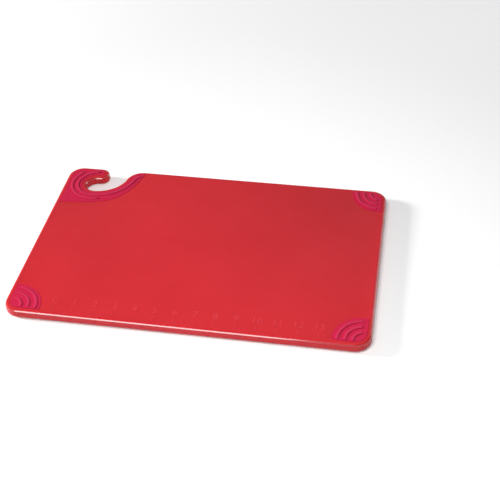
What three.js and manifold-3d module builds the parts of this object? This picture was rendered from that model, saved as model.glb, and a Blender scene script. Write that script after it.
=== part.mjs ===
// Moulded plastic cutting board with soft rubber grips in its four corners, one of which is
// formed as a hanging hook. The board is one slab of hard plastic. Each grip is one piece of
// rubber: a ribbed pad on the upper face and one on the lower face, joined by posts through the
// slab. Millimetres, +X to the right, +Y to the rear, +Z up. The origin is under the centre of
// the board, at the height of the lower rib crests, which the board rests on.

import * as THREE from "three";
import { mergeVertices } from "three/addons/utils/BufferGeometryUtils.js";
import Module from "manifold-3d";

const INCH = 25.4;

// Slab
const LENGTH = 18 * INCH;
const DEPTH = 12 * INCH;
const THICKNESS = 0.5 * INCH;
const CORNER_RADIUS = 21;
const EDGE_RADIUS = 4;

// Hook: a channel of constant width runs round the tip of an arm and ends in a round throat
const ARM_WIDTH = 23;
const CHANNEL_WIDTH = 28.5;
const TIP_FROM_SIDE = 46.5;
const SHOULDER_RADIUS = 24;

// Grips
const MARGIN = 6; // hard plastic left showing between a grip and the board's edge
const GRIP_RADIUS = 38.5; // inner outline of a plain grip, about the centre of its ribs
const RIB_CENTRE = 9.5; // from both edges of the corner
const RIB_SIDE_END = 14; // where a plain grip's ribs stop, from the board's short side
const RIB_RADII = [13.2, 22.6, 32];
const PAD_PROUD = 0.3;
const POCKET_DEPTH = 2.5;
const GAP = 0.3; // between the grips and the walls of their pockets and holes
const POST_RADIUS = 3;
const CUT_BEYOND = 1; // how far a cutting solid passes the face that it opens

// Ribs
const RIB_HEIGHT = 0.9;
const RIB_WIDTH = 4.6;
const RIB_CREST_WIDTH = 1.6;
const RIB_CORE = 0.2; // straight-sided middle of a rib's solid, sunk in the pad

// Hook grip
const HOOK_RIB_OFFSETS = [12.5, 20.5]; // from the throat's wall to the inner and the outer rib
const OUTER_RIB_START = THREE.MathUtils.degToRad(140); // about the throat
const OUTER_RIB_END = 54.3; // from the side of the board
const INNER_RIB_START = 41; // from the side of the board, in the arm
const INNER_RIB_END = THREE.MathUtils.degToRad(118); // about the shoulder
const GRIP_REAR_END = 111; // from the side of the board, along the rear edge
const GRIP_SIDE_END = 85; // from the rear edge, along the side of the board
// The hook grip's inner outline is one curve between those ends, pulled towards these points,
// and its posts stand at the places below. Both are measured from the rear left corner.
const GRIP_PULL_SIDE = [62, -76];
const GRIP_PULL_REAR = [93, -87];
const HOOK_POSTS = [[16, -16], [16, -42], [22, -66], [52, -66], [84, -50]];

// Scale: raised marks along the front edge, one an inch with a shorter one between
const INCH_MARKS = 14;
const MARK_FROM_FRONT = 7;
const INCH_MARK_LENGTH = 8;
const HALF_MARK_LENGTH = 4;
const MARK_WIDTH = 0.8;
const MARK_HEIGHT = 0.25;

// How finely round stretches are divided: the slab's outline, the grips' and the small rounds
const SLAB_STEPS = 8;
const GRIP_STEPS = 6;
const RIB_STEPS = 3;
const EDGE_STEPS = 3;
const RIB_EDGE_STEPS = 2;

// Heights
const UNDERSIDE = PAD_PROUD + RIB_HEIGHT;
const TOP = UNDERSIDE + THICKNESS;
const MIDDLE = UNDERSIDE + THICKNESS / 2;
const PAD_THICKNESS = POCKET_DEPTH + PAD_PROUD;

// Hook geometry, measured from the rear left corner: x to the right, y to the rear
const TIP_RADIUS = ARM_WIDTH / 2;
const THROAT_RADIUS = CHANNEL_WIDTH / 2;
const CHANNEL_RADIUS = TIP_RADIUS + CHANNEL_WIDTH;
const TIP = new THREE.Vector2(TIP_FROM_SIDE, -TIP_RADIUS);
const THROAT = new THREE.Vector2(TIP.x, TIP.y - TIP_RADIUS - THROAT_RADIUS);
const TIP_TO_SHOULDER = CHANNEL_RADIUS + SHOULDER_RADIUS;
const SHOULDER = new THREE.Vector2(
  TIP.x + Math.sqrt(TIP_TO_SHOULDER ** 2 - (SHOULDER_RADIUS - TIP_RADIUS) ** 2),
  -SHOULDER_RADIUS,
);
const SHOULDER_ANGLE = Math.atan2(SHOULDER.y - TIP.y, SHOULDER.x - TIP.x);

const QUARTER = Math.PI / 2;

const wasm = await Module();
wasm.setup();

// Geometry to a solid for joining and cutting, and back.
function solidFrom(geometry) {
  const bare = geometry.clone();
  bare.deleteAttribute("normal");
  bare.deleteAttribute("uv");
  const merged = mergeVertices(bare, 1e-4);
  return new wasm.Manifold(
    new wasm.Mesh({
      numProp: 3,
      vertProperties: new Float32Array(merged.attributes.position.array),
      triVerts: new Uint32Array(merged.index.array),
    }),
  );
}

function geometryFrom(solid) {
  const mesh = solid.getMesh();
  const geometry = new THREE.BufferGeometry();
  geometry.setAttribute("position", new THREE.BufferAttribute(mesh.vertProperties, 3));
  geometry.setIndex(new THREE.BufferAttribute(mesh.triVerts, 1));
  geometry.computeVertexNormals();
  return geometry;
}

// A prism with straight walls, from one height to another.
function prism(shape, bottom, top, steps) {
  const geometry = new THREE.ExtrudeGeometry(shape, {
    depth: top - bottom,
    bevelEnabled: false,
    curveSegments: steps,
  });
  return geometry.translate(0, 0, bottom);
}

// A slab centred on a height, its upper and lower edges rounded inwards from the outline.
// rounding is [width, height, steps].
function roundedSlab(shape, middle, thickness, rounding, steps) {
  const [roundWidth, roundHeight, roundSteps] = rounding;
  const depth = thickness - 2 * roundHeight;
  const geometry = new THREE.ExtrudeGeometry(shape, {
    depth,
    bevelEnabled: true,
    bevelThickness: roundHeight,
    bevelSize: roundWidth,
    bevelOffset: -roundWidth,
    bevelSegments: roundSteps,
    curveSegments: steps,
  });
  return geometry.translate(0, 0, middle - depth / 2);
}

// The hook's edge, inset by a distance, from the shoulder round the throat to the arm's tip.
function traceHook(shape, inset) {
  shape.absarc(SHOULDER.x, SHOULDER.y, SHOULDER_RADIUS - inset, QUARTER, Math.PI + SHOULDER_ANGLE);
  shape.absarc(TIP.x, TIP.y, CHANNEL_RADIUS + inset, SHOULDER_ANGLE, -QUARTER, true);
  shape.absarc(THROAT.x, THROAT.y, THROAT_RADIUS + inset, -QUARTER, -3 * QUARTER, true);
  shape.absarc(TIP.x, TIP.y, TIP_RADIUS - inset, -QUARTER, QUARTER);
  const round = CORNER_RADIUS - inset;
  shape.absarc(CORNER_RADIUS, -CORNER_RADIUS, round, QUARTER, 2 * QUARTER);
}

// Outline of the slab, from the rear left corner of the board.
function boardShape() {
  const shape = new THREE.Shape();
  const near = CORNER_RADIUS;
  const right = LENGTH - CORNER_RADIUS;
  const front = -DEPTH + CORNER_RADIUS;
  shape.absarc(near, front, CORNER_RADIUS, -2 * QUARTER, -QUARTER);
  shape.absarc(right, front, CORNER_RADIUS, -QUARTER, 0);
  shape.absarc(right, -near, CORNER_RADIUS, 0, QUARTER);
  traceHook(shape, 0);
  return shape;
}

// Outline of a plain grip, from its own corner of the board, which is its front right.
// grow makes it larger all round.
function plainGripShape(grow) {
  const inset = MARGIN - grow;
  const radius = GRIP_RADIUS + grow;
  const tipAngle = Math.asin((RIB_CENTRE - inset) / radius);
  const tip = RIB_CENTRE + radius * Math.cos(tipAngle);
  const shape = new THREE.Shape();
  shape.moveTo(-tip, inset);
  shape.absarc(-CORNER_RADIUS, CORNER_RADIUS, CORNER_RADIUS - inset, -QUARTER, 0);
  shape.lineTo(-inset, tip);
  shape.absarc(-RIB_CENTRE, RIB_CENTRE, radius, QUARTER - tipAngle, 2 * QUARTER + tipAngle);
  return shape;
}

// Outline of the hook grip, from the rear left corner of the board.
function hookGripShape(grow) {
  const inset = MARGIN - grow;
  const shape = new THREE.Shape();
  shape.moveTo(GRIP_REAR_END + grow, -inset);
  traceHook(shape, inset);
  shape.lineTo(inset, -GRIP_SIDE_END - grow);
  const [sideX, sideY] = GRIP_PULL_SIDE;
  const [rearX, rearY] = GRIP_PULL_REAR;
  shape.bezierCurveTo(
    sideX, sideY - grow,
    rearX + grow, rearY - grow,
    GRIP_REAR_END + grow, -inset,
  );
  return shape;
}

// A rib's outline: a band of even width along arcs that follow on smoothly, with round ends.
// Each arc is [centre, radius, start angle, end angle].
function bandShape(arcs) {
  const half = RIB_WIDTH / 2;
  const shape = new THREE.Shape();
  const side = (arc, sign, reverse) => {
    const [centre, radius, start, end] = arc;
    const turn = Math.sign(end - start);
    const from = reverse ? end : start;
    const to = reverse ? start : end;
    shape.absarc(centre.x, centre.y, radius + sign * turn * half, from, to, to < from);
  };
  const cap = (arc, angle, outward) => {
    const [centre, radius, start, end] = arc;
    const turn = Math.sign(end - start);
    const x = centre.x + radius * Math.cos(angle);
    const y = centre.y + radius * Math.sin(angle);
    const first = angle + (turn > 0 ? 0 : Math.PI) + (outward ? 0 : Math.PI);
    shape.absarc(x, y, half, first, first + Math.PI);
  };
  for (const arc of arcs) side(arc, 1, false);
  const last = arcs[arcs.length - 1];
  cap(last, last[3], true);
  for (const arc of [...arcs].reverse()) side(arc, -1, true);
  cap(arcs[0], arcs[0][2], false);
  return shape;
}

// The three ribs of a plain grip, from its own corner of the board. They stop short of a full
// quarter at the board's short side, which is the other end when the corner is mirrored.
function plainRibs(mirrored) {
  const centre = new THREE.Vector2(-RIB_CENTRE, RIB_CENTRE);
  return RIB_RADII.map((radius) => {
    const short = Math.asin((RIB_SIDE_END - RIB_CENTRE) / radius);
    const start = QUARTER + (mirrored ? 0 : short);
    const end = 2 * QUARTER - (mirrored ? short : 0);
    return bandShape([[centre, radius, start, end]]);
  });
}

// The hook's two ribs. The inner one starts in the arm and follows the channel all the way;
// the outer one wraps the throat.
function hookRibs() {
  const [inner, outer] = HOOK_RIB_OFFSETS;
  const shoulder = SHOULDER_RADIUS - inner;
  const innerStart = Math.asin((THROAT.x - INNER_RIB_START) / (THROAT_RADIUS + inner));
  const innerRib = [
    [THROAT, THROAT_RADIUS + inner, -3 * QUARTER + innerStart, -QUARTER],
    [TIP, CHANNEL_RADIUS + inner, -QUARTER, SHOULDER_ANGLE],
    [SHOULDER, shoulder, Math.PI + SHOULDER_ANGLE, INNER_RIB_END],
  ];
  const outerEnd = -QUARTER + (OUTER_RIB_END - TIP.x) / (CHANNEL_RADIUS + outer);
  const outerRib = [
    [THROAT, THROAT_RADIUS + outer, OUTER_RIB_START - 4 * QUARTER, -QUARTER],
    [TIP, CHANNEL_RADIUS + outer, -QUARTER, outerEnd],
  ];
  return [bandShape(innerRib), bandShape(outerRib)];
}

// Where the posts of a plain grip stand, from its own corner: under the middle of each rib.
const PLAIN_POSTS = RIB_RADII.map((radius) => {
  const reach = RIB_CENTRE + radius * Math.SQRT1_2;
  return [-reach, reach];
});

function circle([x, y], radius) {
  const shape = new THREE.Shape();
  shape.absarc(x, y, radius, 0, 4 * QUARTER);
  return shape;
}

// One grip: two pads, their ribs and the posts between them.
function gripSolid(outline, ribs, posts) {
  const upperPad = prism(outline, TOP - POCKET_DEPTH, TOP + PAD_PROUD, GRIP_STEPS);
  const lowerTop = UNDERSIDE + POCKET_DEPTH;
  const lowerPad = prism(outline, UNDERSIDE - PAD_PROUD, lowerTop, GRIP_STEPS);
  let solid = solidFrom(upperPad).add(solidFrom(lowerPad));
  for (const post of posts) {
    const bottom = UNDERSIDE + POCKET_DEPTH / 2;
    const top = TOP - POCKET_DEPTH / 2;
    solid = solid.add(solidFrom(prism(circle(post, POST_RADIUS), bottom, top, RIB_STEPS)));
  }
  const rounding = [(RIB_WIDTH - RIB_CREST_WIDTH) / 2, RIB_HEIGHT, RIB_EDGE_STEPS];
  const ribThickness = 2 * RIB_HEIGHT + RIB_CORE;
  for (const side of [1, -1]) {
    const face = MIDDLE + side * (THICKNESS / 2 + PAD_PROUD);
    const middle = face + side * (RIB_HEIGHT - ribThickness / 2);
    for (const rib of ribs) {
      solid = solid.add(solidFrom(roundedSlab(rib, middle, ribThickness, rounding, RIB_STEPS)));
    }
  }
  return solid;
}

// What one grip needs cut out of the slab: a pocket in each face and a hole for each post.
function gripCut(outline, posts) {
  const upper = prism(outline, TOP - POCKET_DEPTH, TOP + CUT_BEYOND, GRIP_STEPS);
  const lowerBottom = UNDERSIDE - CUT_BEYOND;
  const lower = prism(outline, lowerBottom, UNDERSIDE + POCKET_DEPTH, GRIP_STEPS);
  let cut = solidFrom(upper).add(solidFrom(lower));
  for (const post of posts) {
    const hole = prism(circle(post, POST_RADIUS + GAP), UNDERSIDE, TOP, RIB_STEPS);
    cut = cut.add(solidFrom(hole));
  }
  return geometryFrom(cut);
}

// Corner positions: a plain grip is drawn for the front right and turned to the others, where
// its ribs are the mirror image.
const CORNERS = {
  grip_front_right: { x: LENGTH / 2, y: -DEPTH / 2, turn: 0, mirrored: false },
  grip_rear_right: { x: LENGTH / 2, y: DEPTH / 2, turn: QUARTER, mirrored: true },
  grip_front_left: { x: -LENGTH / 2, y: -DEPTH / 2, turn: -QUARTER, mirrored: true },
};
const REAR_LEFT = { x: -LENGTH / 2, y: DEPTH / 2, turn: 0 };

function cornerMatrix({ x, y, turn }) {
  return new THREE.Matrix4().makeRotationZ(turn).setPosition(x, y, 0);
}

// The scale's raised marks, as bars that stand on the upper face.
function scaleMarks() {
  const bars = [];
  const last = INCH_MARKS - 1;
  for (let half = -last; half <= last; half += 1) {
    const isInch = (half + last) % 2 === 0;
    const length = isInch ? INCH_MARK_LENGTH : HALF_MARK_LENGTH;
    const bar = new THREE.BoxGeometry(MARK_WIDTH, length, 2 * MARK_HEIGHT);
    const y = -DEPTH / 2 + MARK_FROM_FRONT + length / 2;
    bars.push(bar.translate((half * INCH) / 2, y, TOP));
  }
  return bars;
}

function buildBody() {
  const rounding = [EDGE_RADIUS, EDGE_RADIUS, EDGE_STEPS];
  const slab = roundedSlab(boardShape(), MIDDLE, THICKNESS, rounding, SLAB_STEPS);
  let solid = solidFrom(slab.applyMatrix4(cornerMatrix(REAR_LEFT)));
  for (const corner of Object.values(CORNERS)) {
    const cut = gripCut(plainGripShape(GAP), PLAIN_POSTS);
    solid = solid.subtract(solidFrom(cut.applyMatrix4(cornerMatrix(corner))));
  }
  const hookCut = gripCut(hookGripShape(GAP), HOOK_POSTS);
  solid = solid.subtract(solidFrom(hookCut.applyMatrix4(cornerMatrix(REAR_LEFT))));
  for (const bar of scaleMarks()) solid = solid.add(solidFrom(bar));
  const plastic = new THREE.MeshStandardMaterial({ color: 0xcd323a, roughness: 0.42, metalness: 0 });
  const mesh = new THREE.Mesh(geometryFrom(solid), plastic);
  mesh.name = "board_body";
  return mesh;
}

function buildGrip(name, corner, solid) {
  const rubber = new THREE.MeshStandardMaterial({ color: 0xc8234b, roughness: 0.55, metalness: 0 });
  const mesh = new THREE.Mesh(geometryFrom(solid), rubber);
  mesh.name = name;
  mesh.position.set(corner.x, corner.y, 0);
  mesh.rotation.z = corner.turn;
  return mesh;
}

const board = new THREE.Group();
board.add(buildBody());
for (const [name, corner] of Object.entries(CORNERS)) {
  const ribs = plainRibs(corner.mirrored);
  board.add(buildGrip(name, corner, gripSolid(plainGripShape(0), ribs, PLAIN_POSTS)));
}
const hookGrip = gripSolid(hookGripShape(0), hookRibs(), HOOK_POSTS);
board.add(buildGrip("grip_hook_corner", REAR_LEFT, hookGrip));

export default board;
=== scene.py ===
import math

import bmesh
import bpy
import numpy as np
from mathutils import Matrix, Vector
from mathutils.geometry import delaunay_2d_cdt


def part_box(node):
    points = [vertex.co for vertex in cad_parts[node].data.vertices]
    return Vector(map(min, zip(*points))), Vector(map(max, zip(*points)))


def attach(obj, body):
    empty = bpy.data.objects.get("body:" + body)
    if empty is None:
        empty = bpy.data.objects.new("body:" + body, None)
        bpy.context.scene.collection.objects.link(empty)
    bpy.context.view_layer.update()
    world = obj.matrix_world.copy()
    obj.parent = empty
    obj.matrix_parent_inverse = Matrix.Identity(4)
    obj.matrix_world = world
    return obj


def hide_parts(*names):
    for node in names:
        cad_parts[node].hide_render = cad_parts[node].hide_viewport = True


# The looks of a moulded plastic cutting board with ribbed rubber grips in its corners, one of
# them a hanging hook. Shapes are drawn in millimetres in the CAD frame and scaled to metres when
# a mesh is made. Outlines run counterclockwise, as rows of x, y and the outward normal.

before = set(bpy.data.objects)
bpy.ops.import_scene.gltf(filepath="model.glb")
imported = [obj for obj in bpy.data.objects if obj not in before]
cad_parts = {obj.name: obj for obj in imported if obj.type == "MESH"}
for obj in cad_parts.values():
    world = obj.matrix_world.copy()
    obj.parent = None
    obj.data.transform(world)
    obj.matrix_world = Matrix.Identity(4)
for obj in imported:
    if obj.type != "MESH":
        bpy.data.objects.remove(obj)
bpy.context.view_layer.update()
MM = 0.001


def box_mm(node):
    low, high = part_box(node)
    return low / MM, high / MM


# Heights and the board's sides, from the CAD frame
BODY_LOW, BODY_HIGH = box_mm("board_body")
GRIP_LOW, GRIP_HIGH = box_mm("grip_front_left")
MIDDLE = (GRIP_LOW.z + GRIP_HIGH.z) / 2
UNDERSIDE = BODY_LOW.z
TOP = 2 * MIDDLE - UNDERSIDE
CREST = GRIP_HIGH.z
MARK_TOP = BODY_HIGH.z
MARGIN = GRIP_LOW.x - BODY_LOW.x  # hard plastic left between a grip and the board's edge
LENGTH_IN_INCHES = 18
INCH = (BODY_HIGH.x - BODY_LOW.x) / LENGTH_IN_INCHES

# Slab
CORNER_RADIUS = 21
EDGE_RADIUS = 4
POCKET_DEPTH = 2.5
LIP_RADIUS = 0.12  # at the mouth of a pocket
SEAM = 0.05  # between a grip and the wall of its pocket
FLOOR_GAP = 0.05  # between a grip and the floor of its pocket

# Hook: a channel of constant width runs round the tip of an arm and ends in a round throat
ARM_WIDTH = 23
CHANNEL_WIDTH = 28.5
TIP_FROM_SIDE = 46.5
SHOULDER_RADIUS = 24

# Plain grips
GRIP_RADIUS = 38.5  # inner outline, about the centre of the ribs
RIB_CENTRE = 9.5  # from both edges of the corner
RIB_SIDE_END = 14  # where a plain grip's ribs stop, from the board's short side
RIB_RADII = (13.2, 22.6, 32)
POINT_RADIUS = 1.2  # where two sides of a grip's outline meet
POST_RADIUS = 3

# Pads and ribs
PAD_PROUD = 0.3
PAD_TOP = TOP + PAD_PROUD
PAD_ROUND = 0.28  # radius round a pad's upper edge
RIB_WIDTH = 4.6
RIB_CREST_WIDTH = 0.8

# Hook grip, measured from the rear left corner
HOOK_RIB_OFFSETS = (12.5, 20.5)  # from the throat's wall to the inner and the outer rib
INNER_RIB_START = 41  # from the board's side
INNER_RIB_END = math.radians(118)  # about the shoulder
OUTER_RIB_START = math.radians(140)  # about the throat
OUTER_RIB_END = 54.3  # from the board's side
GRIP_REAR_END = 111  # along the rear edge
GRIP_SIDE_END = 85  # along the board's side
GRIP_PULL_SIDE = (62, -76)  # the inner outline is one curve between those ends, pulled this way
GRIP_PULL_REAR = (93, -87)
HOOK_POSTS = ((16, -16), (16, -42), (22, -66), (52, -66), (84, -50))
DIMPLES = ((45, -10.5), (59.6, -70.4))
DIMPLE_RADIUS = 1.5
DIMPLE_DEPTH = 1.6

# Scale along the front edge
LAST_NUMERAL = 13  # the first is 0, and their run is centred on the board
NUMERAL_HEIGHT = 10.5
NUMERAL_FROM_FRONT = 20
MARK_FROM_FRONT = 7
INCH_MARK_LENGTH = 8
HALF_MARK_LENGTH = 4
MARK_WIDTH = 0.8

# How finely outlines and rounded edges are divided
SPACING = 1.0  # between an outline's points
MAX_TURN = math.radians(6)  # from one point of an arc to the next
EDGE_STEPS = 12  # the slab's edges
ROUND_STEPS = 4  # the small rounds of pads, pockets and dimples
RIB_STEPS = 9  # a rib's flank
CAP_STEPS = 13  # a rib's round end
LETTER_STEPS = 4  # each curve of a numeral
SUPPORT = 0.3  # flat strip beside a rounded edge, so that the flat face shades flat
SHARP = math.radians(35)  # an edge that turns more than this isn't shaded smooth
SAME = 1e-5  # points this close are one point
WELD = 1e-3  # the same, where the two halves of a solid meet

QUARTER = math.pi / 2
TIP_RADIUS = ARM_WIDTH / 2
THROAT_RADIUS = CHANNEL_WIDTH / 2
CHANNEL_RADIUS = TIP_RADIUS + CHANNEL_WIDTH
TIP = (TIP_FROM_SIDE, -TIP_RADIUS)
THROAT = (TIP[0], TIP[1] - TIP_RADIUS - THROAT_RADIUS)
TIP_TO_SHOULDER = CHANNEL_RADIUS + SHOULDER_RADIUS
SHOULDER_RUN = math.sqrt(TIP_TO_SHOULDER**2 - (SHOULDER_RADIUS - TIP_RADIUS) ** 2)
SHOULDER = (TIP[0] + SHOULDER_RUN, -SHOULDER_RADIUS)
SHOULDER_ANGLE = math.atan2(SHOULDER[1] - TIP[1], SHOULDER_RUN)


# ---------------------------------------------------------------- outlines


def arc(centre, radius, start, end):
    """Rows along an arc. Where it runs clockwise the solid is outside it."""
    turn = min(MAX_TURN, SPACING / radius)
    steps = max(2, math.ceil(abs(end - start) / turn))
    angles = np.linspace(start, end, steps + 1)
    unit = np.stack([np.cos(angles), np.sin(angles)], 1)
    outward = math.copysign(1, end - start)
    return np.hstack([np.array(centre) + radius * unit, outward * unit])


def joined(*stretches):
    """One closed outline from stretches, without the points they share."""
    rows = np.vstack(stretches)
    gap = np.linalg.norm(rows[:, :2] - np.roll(rows[:, :2], 1, 0), axis=1)
    return rows[gap > SAME]


def rounded_point(corner, along, away, radius):
    """Rows of the arc that rounds the corner between two directions of travel, and how much of
    each side it takes."""
    along, away = np.array(along), np.array(away)
    start = math.atan2(-along[0], along[1])
    turn = math.atan2(along[0] * away[1] - along[1] * away[0], along @ away)
    taken = radius * math.tan(turn / 2)
    inward = np.array([-along[1], along[0]])
    centre = np.array(corner) - along * taken + inward * radius
    return arc(centre, radius, start, start + turn), taken


def curve(points, start, end):
    """Rows along a cubic curve between two of its parameters, the solid on its left."""
    a, b, c, d = (np.array(p, float) for p in points)
    t = np.linspace(start, end, math.ceil(np.linalg.norm(d - a) / SPACING))[:, None]
    s = 1 - t
    at = a * s**3 + 3 * b * s * s * t + 3 * c * s * t * t + d * t**3
    way = (b - a) * s * s + 2 * (c - b) * s * t + (d - c) * t * t
    way /= np.linalg.norm(way, axis=1, keepdims=True)
    return np.hstack([at, np.stack([way[:, 1], -way[:, 0]], 1)])


def placed(rows, corner, turn):
    """Rows drawn from a corner of the board, turned and moved to that corner."""
    cos, sin = math.cos(turn), math.sin(turn)
    rotation = np.array([[cos, sin], [-sin, cos]])
    rows = np.array(rows, float)
    at = rows[:, :2] @ rotation + np.array(corner)
    return np.hstack([at, rows[:, 2:] @ rotation]) if rows.shape[1] == 4 else at


def hook_edge(inset):
    """The hook's edge, from the shoulder round the throat to the board's rear left corner."""
    return [
        arc(SHOULDER, SHOULDER_RADIUS - inset, QUARTER, math.pi + SHOULDER_ANGLE),
        arc(TIP, CHANNEL_RADIUS + inset, SHOULDER_ANGLE, -QUARTER),
        arc(THROAT, THROAT_RADIUS + inset, -QUARTER, -3 * QUARTER),
        arc(TIP, TIP_RADIUS - inset, -QUARTER, QUARTER),
        arc((CORNER_RADIUS, -CORNER_RADIUS), CORNER_RADIUS - inset, QUARTER, 2 * QUARTER),
    ]


def board_outline():
    near = CORNER_RADIUS
    right = BODY_HIGH.x - BODY_LOW.x - near
    front = BODY_LOW.y - BODY_HIGH.y + near
    rows = joined(
        arc((near, front), near, -2 * QUARTER, -QUARTER),
        arc((right, front), near, -QUARTER, 0),
        arc((right, -near), near, 0, QUARTER),
        *hook_edge(0),
    )
    return placed(rows, (BODY_LOW.x, BODY_HIGH.y), 0)


def plain_outline():
    """A plain grip's outline, from the front right corner of the board."""
    tip_angle = math.asin((RIB_CENTRE - MARGIN) / GRIP_RADIUS)
    tip = RIB_CENTRE + GRIP_RADIUS * math.cos(tip_angle)
    slant = (math.sin(tip_angle), math.cos(tip_angle))
    front, taken = rounded_point((-tip, MARGIN), (slant[0], -slant[1]), (1, 0), POINT_RADIUS)
    side, _ = rounded_point((-MARGIN, tip), (0, 1), (-slant[1], slant[0]), POINT_RADIUS)
    trim = taken / GRIP_RADIUS - tip_angle
    corner = (-CORNER_RADIUS, CORNER_RADIUS)
    centre = (-RIB_CENTRE, RIB_CENTRE)
    return joined(
        front,
        arc(corner, CORNER_RADIUS - MARGIN, -QUARTER, 0),
        side,
        arc(centre, GRIP_RADIUS, QUARTER + trim, 2 * QUARTER - trim),
    )


def hook_outline():
    """The hook grip's outline, from the rear left corner of the board."""
    side_end, rear_end = (MARGIN, -GRIP_SIDE_END), (GRIP_REAR_END, -MARGIN)
    points = [side_end, GRIP_PULL_SIDE, GRIP_PULL_REAR, rear_end]
    leave = Vector(GRIP_PULL_SIDE) - Vector(side_end)
    arrive = Vector(rear_end) - Vector(GRIP_PULL_REAR)
    low, low_taken = rounded_point(side_end, (0, -1), leave.normalized(), POINT_RADIUS)
    high, high_taken = rounded_point(rear_end, arrive.normalized(), (-1, 0), POINT_RADIUS)
    start, end = low_taken / (3 * leave.length), 1 - high_taken / (3 * arrive.length)
    return joined(*hook_edge(MARGIN), low, curve(points, start, end), high)


def centre_line(*stretches):
    """Arcs that follow on smoothly, as one line whose normals point to its right."""
    return np.vstack([stretches[0]] + [stretch[1:] for stretch in stretches[1:]])


def hook_ribs():
    """The centre lines of the hook's two ribs."""
    inner, outer = HOOK_RIB_OFFSETS
    inner_start = math.asin((THROAT[0] - INNER_RIB_START) / (THROAT_RADIUS + inner))
    outer_end = (OUTER_RIB_END - TIP[0]) / (CHANNEL_RADIUS + outer)
    return [
        centre_line(
            arc(THROAT, THROAT_RADIUS + inner, inner_start - 3 * QUARTER, -QUARTER),
            arc(TIP, CHANNEL_RADIUS + inner, -QUARTER, SHOULDER_ANGLE),
            arc(SHOULDER, SHOULDER_RADIUS - inner, math.pi + SHOULDER_ANGLE, INNER_RIB_END),
        ),
        centre_line(
            arc(THROAT, THROAT_RADIUS + outer, OUTER_RIB_START - 4 * QUARTER, -QUARTER),
            arc(TIP, CHANNEL_RADIUS + outer, -QUARTER, outer_end - QUARTER),
        ),
    ]


def plain_ribs(mirrored):
    """The centre lines of a plain grip's ribs. They stop short of a full quarter at the board's
    short side, which is the other end when the corner is mirrored."""
    lines = []
    for radius in RIB_RADII:
        short = math.asin((RIB_SIDE_END - RIB_CENTRE) / radius)
        start = QUARTER + (0 if mirrored else short)
        end = 2 * QUARTER - (short if mirrored else 0)
        lines.append(arc((-RIB_CENTRE, RIB_CENTRE), radius, start, end))
    return lines


def plain_posts():
    reach = [RIB_CENTRE + radius * math.sqrt(0.5) for radius in RIB_RADII]
    return [(-away, away) for away in reach]


def circle(centre, radius):
    return arc(centre, radius, 0, 4 * QUARTER)[:-1]


def band(line, half):
    """The outline round a centre line at an even distance, with round ends, and for each of its
    rows the place on the line that it is nearest to."""
    centres, normals = line[:, :2], line[:, 2:]
    last = len(line) - 1
    sweep = np.linspace(0, math.pi, CAP_STEPS + 1)[1:-1, None]

    def cap(index, right):
        ahead = np.array([-right[1], right[0]])
        normal = right * np.cos(sweep) + ahead * np.sin(sweep)
        return np.hstack([centres[index] + normal * half, normal])

    right_side = np.hstack([centres + normals * half, normals])
    left_side = np.hstack([centres - normals * half, -normals])[::-1]
    rows = np.vstack([right_side, cap(last, normals[-1]), left_side, cap(0, -normals[0])])
    there = list(range(last + 1))
    ends = len(sweep)
    nearest = there + [last] * ends + there[::-1] + [0] * ends
    return rows, nearest


# ---------------------------------------------------------------- surfaces


NOTHING_RAISED = ((), (), 0)


def inside(points, starts, ends):
    """Which points an odd number of edges runs above, so which are inside the edges' outlines."""
    x, y = points[:, :1], points[:, 1:]
    (x0, y0), (x1, y1) = starts.T, ends.T
    spans = (x0 <= x) != (x1 <= x)
    run = np.where(x1 == x0, 1, x1 - x0)
    above = y < y0 + (x - x0) * (y1 - y0) / run
    return (spans & above).sum(1) % 2 == 1


def triangulate(places, outlines, steps):
    """Triangles between places and inside the outlines' edges. Gives the points, the places that
    each stands for, the triangles and whether each of them is inside the steps' edges."""
    made = delaunay_2d_cdt([Vector(p) for p in places], outlines + steps, [], 0, SAME, True)
    points = np.array([tuple(v) for v in made[0]])
    triangles = np.array(made[2])

    def within(edges):
        ends = np.array(places)[np.array(edges)]
        return inside(points[triangles].mean(1), ends[:, 0], ends[:, 1])

    triangles = triangles[within(outlines)]
    lifted = within(steps).tolist() if steps else [False] * len(triangles)
    return points, made[3], triangles.tolist(), lifted


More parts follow.
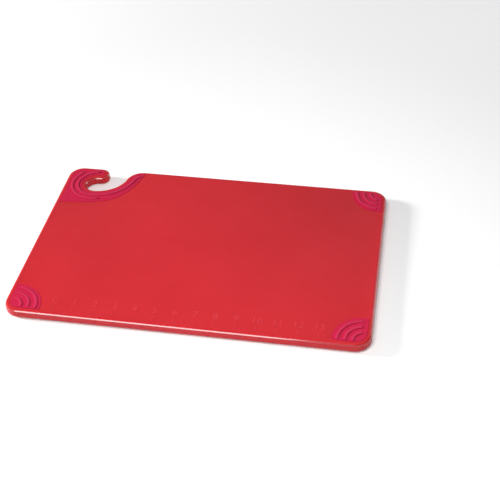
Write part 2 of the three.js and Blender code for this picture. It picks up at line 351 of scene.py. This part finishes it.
class Surface:
    """The upper half of a solid, from its middle height up, as points and faces."""

    def __init__(self):
        self.points = []
        self.faces = []

    def add(self, places, height):
        first = len(self.points)
        self.points += [(x, y, height) for x, y in places]
        return list(range(first, len(self.points)))

    def ring(self, outline, inset, height):
        return self.add(outline[:, :2] - outline[:, 2:] * inset, height)

    def sweep(self, rings):
        """Walls from each ring to the next. Going up, they face outwards."""
        for low, high in zip(rings, rings[1:]):
            for i, (a, d) in enumerate(zip(low, high)):
                after = (i + 1) % len(low)
                corners = dict.fromkeys([a, low[after], high[after], d])
                if len(corners) > 2:
                    self.faces.append(tuple(corners))

    def rounded_edge(self, outline, low, high, radius, steps):
        """A wall that turns in to a flat face through a rounded edge. Gives its first and last
        rings."""
        rings = [self.ring(outline, 0, low)]
        for step in range(steps + 1):
            angle = QUARTER * step / steps
            inset = radius * (1 - math.cos(angle))
            rings.append(self.ring(outline, inset, high - radius * (1 - math.sin(angle))))
        rings.append(self.ring(outline, radius + SUPPORT, high))
        self.sweep(rings)
        return rings[0], rings[-1]

    def fill(self, rings, up=True, raised=NOTHING_RAISED):
        """A flat face inside the first ring and outside the others. raised is the places and the
        edges of outlines inside which the face is lifted, and how far."""
        raised_places, raised_edges, lift = raised
        own = [index for ring in rings for index in ring]
        height = self.points[own[0]][2]
        places = [self.points[index][:2] for index in own] + [tuple(p) for p in raised_places]
        outlines, first = [], 0
        for ring in rings:
            count = len(ring)
            outlines += [(first + i, first + (i + 1) % count) for i in range(count)]
            first += count
        steps = [(a + first, b + first) for a, b in raised_edges]
        at, sources, triangles, lifted = triangulate(places, outlines, steps)
        known = {}  # the surface's points, by place and by whether they are lifted
        for i, came_from in enumerate(sources):
            if came_from and came_from[0] < len(own):
                known[i, False] = own[came_from[0]]

        def point(i, is_lifted):
            if (i, is_lifted) not in known:
                known[i, is_lifted] = self.add([at[i]], height + lift * is_lifted)[0]
            return known[i, is_lifted]

        sides = {}
        for (a, b, c), is_lifted in zip(triangles, lifted):
            corners = [point(i, is_lifted) for i in (a, b, c)]
            self.faces.append(tuple(corners if up else reversed(corners)))
            sides.update({side: is_lifted for side in ((a, b), (b, c), (c, a))})
        # Walls where what is lifted meets what isn't
        for (a, b), is_lifted in sides.items():
            if is_lifted and not sides.get((b, a), True):
                wall = (point(a, False), point(b, False), point(b, True), point(a, True))
                self.faces.append(wall)


def solid(name, upper, lower):
    """A closed mesh from an upper half and a second one that is turned over beneath it."""
    points = upper.points + [(x, y, 2 * MIDDLE - z) for x, y, z in lower.points]
    shift = len(upper.points)
    turned = [tuple(i + shift for i in reversed(face)) for face in lower.faces]
    mesh = bpy.data.meshes.new(name)
    mesh.from_pydata(points, [], upper.faces + turned)
    shape = bmesh.new()
    shape.from_mesh(mesh)
    seam = [v for v in shape.verts if abs(v.co.z - MIDDLE) < WELD]
    bmesh.ops.remove_doubles(shape, verts=seam, dist=WELD)
    shape.to_mesh(mesh)
    shape.free()
    mesh.transform(Matrix.Scale(MM, 4))
    mesh.shade_smooth()
    mesh.set_sharp_from_angle(angle=SHARP)
    piece = bpy.data.objects.new(name, mesh)
    bpy.context.scene.collection.objects.link(piece)
    return piece


# ---------------------------------------------------------------- scale


def text_outline(text, size):
    """The places and the edges of a text's outline, centred on the origin."""
    words = bpy.data.curves.new("numeral", "FONT")
    words.body = text
    words.size = size
    words.align_x = "CENTER"
    words.fill_mode = "NONE"
    words.resolution_u = LETTER_STEPS
    holder = bpy.data.objects.new("numeral", words)
    bpy.context.scene.collection.objects.link(holder)
    graph = bpy.context.evaluated_depsgraph_get()
    mesh = bpy.data.meshes.new_from_object(holder.evaluated_get(graph))
    places = np.array([v.co[:2] for v in mesh.vertices])
    edges = [tuple(edge.vertices) for edge in mesh.edges]
    bpy.data.objects.remove(holder)
    bpy.data.curves.remove(words)
    bpy.data.meshes.remove(mesh)
    return places, edges


def scale_outlines():
    """The numerals and the marks along the front edge."""
    tall = text_outline("8", 1)[0][:, 1]
    size = NUMERAL_HEIGHT / (tall.max() - tall.min())
    front = BODY_LOW.y
    places, edges = [], []

    def add(outline_places, outline_edges):
        first = len(places)
        places.extend(outline_places)
        edges.extend((a + first, b + first) for a, b in outline_edges)

    for number in range(LAST_NUMERAL + 1):
        digits, digit_edges = text_outline(str(number), size)
        x = (number - LAST_NUMERAL / 2) * INCH
        add(digits + (x, front + NUMERAL_FROM_FRONT), digit_edges)
    for half in range(-LAST_NUMERAL, LAST_NUMERAL + 1):
        is_inch = (half + LAST_NUMERAL) % 2 == 0
        length = INCH_MARK_LENGTH if is_inch else HALF_MARK_LENGTH
        left, right = half * INCH / 2 - MARK_WIDTH / 2, half * INCH / 2 + MARK_WIDTH / 2
        low = front + MARK_FROM_FRONT
        corners = [(left, low), (right, low), (right, low + length), (left, low + length)]
        add(corners, [(0, 1), (1, 2), (2, 3), (3, 0)])
    return places, edges, MARK_TOP - TOP


# ---------------------------------------------------------------- pieces


class Grip:
    """Where a grip's parts are on the board."""

    def __init__(self, name, node, corner, turn, outline, ribs, posts, dimples):
        self.name = name
        self.node = node
        self.outline = placed(outline, corner, turn)
        self.ribs = [placed(rib, corner, turn) for rib in ribs]
        self.posts = placed(posts, corner, turn)
        self.dimples = placed(dimples, corner, turn) if dimples else []


def all_grips():
    left, right = BODY_LOW.x, BODY_HIGH.x
    front, rear = BODY_LOW.y, BODY_HIGH.y
    plain = (plain_outline(), plain_ribs(False), plain_posts(), ())
    mirrored = (plain_outline(), plain_ribs(True), plain_posts(), ())
    hook = (hook_outline(), hook_ribs(), HOOK_POSTS, DIMPLES)
    return [
        Grip("hook_grip", "grip_hook_corner", (left, rear), 0, *hook),
        Grip("rear_right_grip", "grip_rear_right", (right, rear), QUARTER, *mirrored),
        Grip("front_left_grip", "grip_front_left", (left, front), -QUARTER, *mirrored),
        Grip("front_right_grip", "grip_front_right", (right, front), 0, *plain),
    ]


def pocket(surface, grip):
    """A pocket for a grip's pad, with holes for its posts. Gives the ring at its mouth."""
    rings = []
    for step in range(ROUND_STEPS + 1):
        angle = QUARTER * step / ROUND_STEPS
        away = SEAM + LIP_RADIUS * (1 - math.sin(angle))
        rings.append(surface.ring(grip.outline, -away, TOP - LIP_RADIUS * (1 - math.cos(angle))))
    floor = TOP - POCKET_DEPTH
    rings.append(surface.ring(grip.outline, -SEAM, floor))
    surface.sweep(rings)
    holes = []
    for post in grip.posts:
        outline = circle(post, POST_RADIUS + SEAM)
        holes.append(surface.ring(outline, 0, floor))
        surface.sweep([holes[-1], surface.ring(outline, 0, MIDDLE)])
    surface.fill([rings[-1], *holes])
    return rings[0]


def slab_half(grips, raised=NOTHING_RAISED):
    surface = Surface()
    _, edge = surface.rounded_edge(board_outline(), MIDDLE, TOP, EDGE_RADIUS, EDGE_STEPS)
    mouths = [pocket(surface, grip) for grip in grips]
    surface.fill([edge, *mouths], raised=raised)
    return surface


def rib(surface, line):
    """A rib whose flanks turn over in a quarter of an ellipse from the pad to its crest. Gives
    the ring at its foot."""
    half = RIB_WIDTH / 2
    flank = half - RIB_CREST_WIDTH / 2
    outline, nearest = band(line, half)
    rings = []
    for step in range(RIB_STEPS + 1):
        angle = QUARTER * step / RIB_STEPS
        inset = flank * (1 - math.cos(angle))
        rings.append(surface.ring(outline, inset, PAD_TOP + (CREST - PAD_TOP) * math.sin(angle)))
    middle = surface.add(line[:, :2], CREST)
    rings.append([middle[i] for i in nearest])
    surface.sweep(rings)
    return rings[0]


def dimple(surface, centre):
    """A small round hollow. Gives the ring at its mouth."""
    mouth = circle(centre, DIMPLE_RADIUS)
    rings = []
    for step in range(ROUND_STEPS):
        share = step / ROUND_STEPS
        depth = DIMPLE_DEPTH * share * (2 - share)
        rings.append(surface.ring(mouth, DIMPLE_RADIUS * share, PAD_TOP - depth))
    bottom = surface.add([centre], PAD_TOP - DIMPLE_DEPTH)
    rings.append(bottom * len(rings[0]))
    surface.sweep(rings)
    return rings[0]


def grip_half(grip):
    surface = Surface()
    low = TOP - POCKET_DEPTH + FLOOR_GAP
    posts = []
    for post in grip.posts:
        outline = circle(post, POST_RADIUS)
        posts.append(surface.ring(outline, 0, low))
        surface.sweep([surface.ring(outline, 0, MIDDLE), posts[-1]])
    bottom, edge = surface.rounded_edge(grip.outline, low, PAD_TOP, PAD_ROUND, ROUND_STEPS)
    surface.fill([bottom, *posts], up=False)
    feet = [rib(surface, line) for line in grip.ribs]
    mouths = [dimple(surface, centre) for centre in grip.dimples]
    surface.fill([edge, *feet, *mouths])
    return surface


# ---------------------------------------------------------------- materials

# Colours as they look
PLASTIC_COLOURS = ((199, 36, 45), (204, 40, 49))  # in broad soft clouds of the two
FLOW_COLOUR = (208, 43, 53)  # streaks left by the moulding
FLECK_COLOUR = (188, 29, 38)
# painted highlight: the raised scale is painted lighter so that its faint relief shows
MARK_HIGHLIGHT_COLOUR = (220, 70, 82)  # the raised scale
RUBBER_COLOURS = ((195, 31, 68), (201, 36, 73))
# painted shade down the ribs' steep flanks
FLANK_SHADE_COLOUR = (160, 2, 38)
# painted highlight along the ribs' crests
CREST_HIGHLIGHT_COLOUR = (200, 56, 92)
# painted shade in the dimples
DIMPLE_SHADE_COLOUR = (110, 5, 30)

# How far a surface's own colour is taken towards each of these, where that is strongest
FLOW_TINT = 0.3
FLECK_TINT = 0.2
MARK_HIGHLIGHT_TINT = 0.5
FLANK_SHADE_TINT = 0.6
CREST_HIGHLIGHT_TINT = 0.6
DIMPLE_SHADE_TINT = 0.8

# Roughness, which varies with a pattern between two values
SATIN = (0.40, 0.50)  # the slab's faces
POLISHED = (0.17, 0.22)  # its rounded edges
DULL = (0.48, 0.58)  # rubber
CREST_POLISH = 0.1  # how much smoother the ribs' crests are

# How deep each texture is pressed in, in millimetres, and how strongly it shows
MOULD_RELIEF = 0.05
MOULD_STRENGTH = 0.2
RUBBER_RELIEF = 0.04
RUBBER_STRENGTH = 0.25

# The size of each pattern's grain in millimetres, and its detail
CLOUDS = (90, 2)
FLOW = (14, 3)
FLOW_STRETCH = (3.5, 1, 1)
FLECKS = (0.9, 1)
PATCHES = (7, 3)
MOULD_TEXTURE = (0.45, 2)
RUBBER_TEXTURE = (0.3, 2)
FLOOR_SHADES = (300, 2)
SPREAD = (0.3, 0.7)  # the part of noise's range that most of it fills
FLECK_SPREAD = (0.35, 0.65)

# How squarely a surface faces up or down
FLAT = (0.985, 0.999)  # the slab's edges up to the first, its faces from the second
WORN_BELOW = (0.32, 0.45)  # the polished band on an upper edge begins between these
WORN_ABOVE = (0.65, 0.88)  # and ends between these
LEVEL = (0.86, 0.97)  # rib flanks up to the first, crests and pads from the second

# Heights where a colour begins to come in
MARK_FOOT = 0.05  # above the face
CREST_FOOT = 0.35  # above a pad
DIMPLE_MOUTH = 0.3  # below a pad
DIMPLE_DEEP = 1  # below a pad, where it is full

# The floor
WHITE = (1, 1, 1, 1)
FLOOR_GREYS = ((0.92, 0.92, 0.92, 1), (0.94, 0.94, 0.94, 1))
FLOOR_SIZE = 30  # metres
GLOW_REACH = (0.6, 3.5)  # metres from the board's centre
FLOOR_GLOW = (0.2, 0.6)  # there: it evens out the floor for the camera and lights nothing


class Shader:
    """A node material, built up one node at a time."""

    def __init__(self, name):
        self.material = bpy.data.materials.new(name)
        self.material.use_nodes = True
        self.tree = self.material.node_tree
        self.surface = self.tree.nodes["Principled BSDF"]

    def add(self, kind, settings=(), **inputs):
        node = self.tree.nodes.new("ShaderNode" + kind)
        for key, value in dict(settings).items():
            setattr(node, key, value)
        self.set(node, **inputs)
        return node

    def set(self, node, **inputs):
        """Links or sets inputs, given by name with _ for a space, or by _ and their number."""
        for key, value in inputs.items():
            name = int(key[1:]) if key[0] == "_" else key.replace("_", " ")
            socket = node.inputs[name]
            if isinstance(value, bpy.types.NodeSocket):
                self.tree.links.new(value, socket)
            else:
                socket.default_value = value

    def noise(self, size, detail, stretch=(1, 1, 1)):
        """Noise whose grain is about size, in millimetres."""
        where = self.add("TexCoord").outputs["Object"]
        step = [1 / (size * MM * s) for s in stretch]
        scaled = self.add("Mapping", Vector=where, Scale=step).outputs[0]
        return self.add("TexNoise", Vector=scaled, Scale=1, Detail=detail).outputs[0]

    def remap(self, value, low, high, to_low, to_high):
        """A value taken from the range low to high to another one, and held inside that."""
        node = self.add("MapRange", Value=value, From_Min=low, From_Max=high)
        self.set(node, To_Min=to_low, To_Max=to_high)
        return node.outputs[0]

    def mix(self, share, first, second):
        """A blend of two colours."""
        node = self.add("Mix", {"data_type": "RGBA"})
        self.set(node, _0=share, _6=first, _7=second)
        return node.outputs[2]

    def tint(self, share, strength, colour, other):
        """A colour taken towards another one, by the strength where share is 1."""
        return self.mix(self.multiply(share, strength), colour, srgb(*other))

    def multiply(self, first, second):
        return self.add("Math", {"operation": "MULTIPLY"}, _0=first, _1=second).outputs[0]

    def subtract(self, first, second):
        return self.add("Math", {"operation": "SUBTRACT"}, _0=first, _1=second).outputs[0]

    def without_sign(self, value):
        return self.add("Math", {"operation": "ABSOLUTE"}, _0=value).outputs[0]

    def upwards(self):
        """How squarely the surface faces up: 1 on the upper face, 0 on a wall, -1 below."""
        normal = self.add("NewGeometry").outputs["Normal"]
        return self.add("SeparateXYZ", Vector=normal).outputs[2]

    def between(self, low, high, at_low, at_high):
        """A value that runs from one to another between two levels of the upper face, and
        between the same levels of the lower one."""
        where = self.add("NewGeometry").outputs["Position"]
        height = self.add("SeparateXYZ", Vector=where).outputs[2]
        away = self.without_sign(self.subtract(height, MIDDLE * MM))
        return self.remap(away, (low - MIDDLE) * MM, (high - MIDDLE) * MM, at_low, at_high)


def srgb(red, green, blue):
    """A colour given as it looks, as the linear values that a shader takes."""
    return [((c / 255 + 0.055) / 1.055) ** 2.4 for c in (red, green, blue)] + [1]


def board_plastic():
    """Satin moulded plastic: a fine mould texture on the faces, smooth rounded edges that are
    worn shiny in a band where the upper face turns down to the walls."""
    s = Shader("board_plastic")
    up = s.upwards()
    flat = s.remap(s.without_sign(up), *FLAT, 0, 1)
    worn = s.multiply(s.remap(up, *WORN_BELOW, 0, 1), s.remap(up, *WORN_ABOVE, 1, 0))
    cloud = s.remap(s.noise(*CLOUDS), *SPREAD, 0, 1)
    flow = s.remap(s.noise(*FLOW, FLOW_STRETCH), *SPREAD, 0, 1)
    fleck = s.remap(s.noise(*FLECKS), *FLECK_SPREAD, 0, 1)
    # Painted highlight: the raised numerals and marks are taken lighter than the face
    mark = s.between(TOP + MARK_FOOT, MARK_TOP, 0, 1)
    colour = s.mix(cloud, *(srgb(*c) for c in PLASTIC_COLOURS))
    colour = s.tint(flow, FLOW_TINT, colour, FLOW_COLOUR)
    colour = s.tint(fleck, FLECK_TINT, colour, FLECK_COLOUR)
    colour = s.tint(mark, MARK_HIGHLIGHT_TINT, colour, MARK_HIGHLIGHT_COLOUR)
    texture = s.noise(*MOULD_TEXTURE)
    satin = s.remap(texture, *SPREAD, *SATIN)
    polished = s.remap(flow, 0, 1, *POLISHED)
    rough = s.add("Mix", _0=flat, _2=polished, _3=satin).outputs[0]
    strength = s.remap(flat, 0, 1, 0, MOULD_STRENGTH)
    grain = s.add("Bump", Height=texture, Strength=strength, Distance=MOULD_RELIEF * MM)
    s.set(s.surface, Base_Color=colour, Roughness=rough, Normal=grain.outputs[0])
    s.set(s.surface, Coat_Weight=worn, Coat_IOR=2.6, Coat_Roughness=0.12)
    s.set(s.surface, IOR=1.49, Specular_IOR_Level=s.remap(flat, 0, 1, 0.3, 0.5))
    s.set(s.surface, Subsurface_Weight=0.12, Subsurface_Scale=1.5 * MM)
    s.set(s.surface, Subsurface_Radius=(1.0, 0.25, 0.2))
    return s.material


def grip_rubber():
    """Soft-touch rubber: polished a little along the crests of the ribs, with a painted
    highlight along the crests and painted shade down their flanks and in the dimples."""
    s = Shader("grip_rubber")
    crest = s.between(PAD_TOP + CREST_FOOT, CREST, 0, 1)
    flank = s.remap(s.without_sign(s.upwards()), *LEVEL, 1, 0)
    hollow = s.between(PAD_TOP - DIMPLE_DEEP, PAD_TOP - DIMPLE_MOUTH, 1, 0)
    patch = s.remap(s.noise(*PATCHES), *SPREAD, 0, 1)
    colour = s.mix(patch, *(srgb(*c) for c in RUBBER_COLOURS))
    # Painted shade: the ribs' steep flanks are taken darker
    colour = s.tint(flank, FLANK_SHADE_TINT, colour, FLANK_SHADE_COLOUR)
    # Painted highlight: the ribs' crests are taken lighter and pinker
    colour = s.tint(crest, CREST_HIGHLIGHT_TINT, colour, CREST_HIGHLIGHT_COLOUR)
    # Painted shade: the dimples are taken darker towards their bottoms
    colour = s.tint(hollow, DIMPLE_SHADE_TINT, colour, DIMPLE_SHADE_COLOUR)
    texture = s.noise(*RUBBER_TEXTURE)
    rough = s.subtract(s.remap(texture, *SPREAD, *DULL), s.multiply(crest, CREST_POLISH))
    relief = RUBBER_RELIEF * MM
    grain = s.add("Bump", Height=texture, Strength=RUBBER_STRENGTH, Distance=relief)
    s.set(s.surface, Base_Color=colour, Roughness=rough, Normal=grain.outputs[0])
    s.set(s.surface, IOR=1.47, Specular_IOR_Level=s.remap(flank, 0, 1, 0.2, 0.03))
    s.set(s.surface, Subsurface_Weight=0.08, Subsurface_Scale=1.0 * MM)
    s.set(s.surface, Subsurface_Radius=(1.0, 0.2, 0.3))
    return s.material


def floor_paper():
    """Pale paper that glows a little where the camera sees it, more so further off."""
    s = Shader("floor_paper")
    shade = s.remap(s.noise(*FLOOR_SHADES), *SPREAD, 0, 1)
    where = s.add("TexCoord").outputs["Object"]
    away = s.add("VectorMath", {"operation": "LENGTH"}, _0=where).outputs["Value"]
    seen = s.add("LightPath").outputs["Is Camera Ray"]
    glow = s.multiply(seen, s.remap(away, *GLOW_REACH, *FLOOR_GLOW))
    s.set(s.surface, Base_Color=s.mix(shade, *FLOOR_GREYS), Roughness=0.8)
    s.set(s.surface, Emission_Color=WHITE, Emission_Strength=glow)
    return s.material


# ---------------------------------------------------------------- studio

# The camera's place in metres, its direction and roll in degrees, its lens and the width of its
# sensor in millimetres
CAMERA_AT = (0.2437, -0.9873, 0.8707)
CAMERA_TURN = 10.59  # to the left of straight back
CAMERA_DROP = 40.42  # below the horizon
CAMERA_ROLL = -1.71
CAMERA_LENS = 72.66
CAMERA_SENSOR = 36

# The world's strength. Its light fades from one to the other with the height of its direction.
BACKGROUND = 0.8  # behind the floor, as the camera sees it
LOW_HEIGHT, LOW_LIGHT = 0.15, 0.28
HIGH_HEIGHT, HIGH_LIGHT = 0.5, 0.2

# Softboxes: places and sizes in metres, power in watts
SOFTBOXES = {
    "key": {"at": (-3.1, 0.1, 1.04), "size": (0.5, 0.5), "power": 128, "mirrored": False},
    "fill": {"at": (0.05, -0.45, 0.72), "size": (0.4, 0.4), "power": 4.6, "mirrored": False},
    "strip": {"at": (-0.24, -0.68, 0.33), "size": (0.68, 0.5), "power": 3.3, "lights": False},
    "side": {"at": (1.25, 1.4, 0.45), "size": (0.8, 0.6), "power": 2.5, "lights": False},
    "rim": {"at": (1.0, 1.5, 1.15), "size": (0.7, 0.5), "power": 2.2},
}


def make_camera():
    data = bpy.data.cameras.new("camera")
    data.sensor_width = CAMERA_SENSOR
    data.lens = CAMERA_LENS
    camera = bpy.data.objects.new("camera", data)
    turn = Matrix.Rotation(math.radians(CAMERA_TURN), 4, "Z")
    drop = Matrix.Rotation(math.radians(90 - CAMERA_DROP), 4, "X")
    roll = Matrix.Rotation(math.radians(CAMERA_ROLL), 4, "Z")
    camera.matrix_world = Matrix.Translation(CAMERA_AT) @ turn @ drop @ roll
    bpy.context.scene.collection.objects.link(camera)
    bpy.context.scene.camera = camera


def softbox(name, at, size, power, lights=True, mirrored=True):
    """A rectangular light that faces the board. It lights surfaces, is mirrored in them or both,
    and the camera doesn't see it."""
    data = bpy.data.lights.new(name, "AREA")
    data.shape = "RECTANGLE"
    data.size, data.size_y = size
    data.energy = power
    light = bpy.data.objects.new(name, data)
    light.location = at
    light.rotation_euler = (-Vector(at)).to_track_quat("-Z", "Y").to_euler()
    light.visible_diffuse = lights
    light.visible_glossy = mirrored
    light.visible_camera = False
    bpy.context.scene.collection.objects.link(light)


def make_floor():
    half = FLOOR_SIZE / 2
    corners = [(-half, -half, 0), (half, -half, 0), (half, half, 0), (-half, half, 0)]
    mesh = bpy.data.meshes.new("floor")
    mesh.from_pydata(corners, [], [(0, 1, 2, 3)])
    mesh.materials.append(floor_paper())
    floor = bpy.data.objects.new("floor", mesh)
    bpy.context.scene.collection.objects.link(floor)


def make_world():
    world = bpy.data.worlds.new("studio")
    world.use_nodes = True
    tree = world.node_tree
    where = tree.nodes.new("ShaderNodeTexCoord")
    split = tree.nodes.new("ShaderNodeSeparateXYZ")
    fade = tree.nodes.new("ShaderNodeMapRange")
    fade.inputs["From Min"].default_value = LOW_HEIGHT
    fade.inputs["To Min"].default_value = LOW_LIGHT
    fade.inputs["From Max"].default_value = HIGH_HEIGHT
    fade.inputs["To Max"].default_value = HIGH_LIGHT
    path = tree.nodes.new("ShaderNodeLightPath")
    seen = tree.nodes.new("ShaderNodeMix")
    seen.inputs["B"].default_value = BACKGROUND
    tree.links.new(where.outputs["Generated"], split.inputs[0])
    tree.links.new(split.outputs[2], fade.inputs["Value"])
    tree.links.new(fade.outputs[0], seen.inputs["A"])
    tree.links.new(path.outputs["Is Camera Ray"], seen.inputs["Factor"])
    tree.links.new(seen.outputs[0], tree.nodes["Background"].inputs["Strength"])
    tree.nodes["Background"].inputs["Color"].default_value = WHITE
    bpy.context.scene.world = world


def make_studio():
    make_floor()
    make_world()
    make_camera()
    for name, setting in SOFTBOXES.items():
        softbox(name, **setting)
    bpy.context.scene.view_settings.view_transform = "Standard"


def finish_piece(piece, material, node):
    piece.data.materials.append(material)
    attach(piece, "root")
    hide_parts(node)


grips = all_grips()
slab = solid("slab", slab_half(grips, scale_outlines()), slab_half(grips))
finish_piece(slab, board_plastic(), "board_body")
rubber = grip_rubber()
for grip in grips:
    half = grip_half(grip)
    finish_piece(solid(grip.name, half, half), rubber, grip.node)
make_studio()
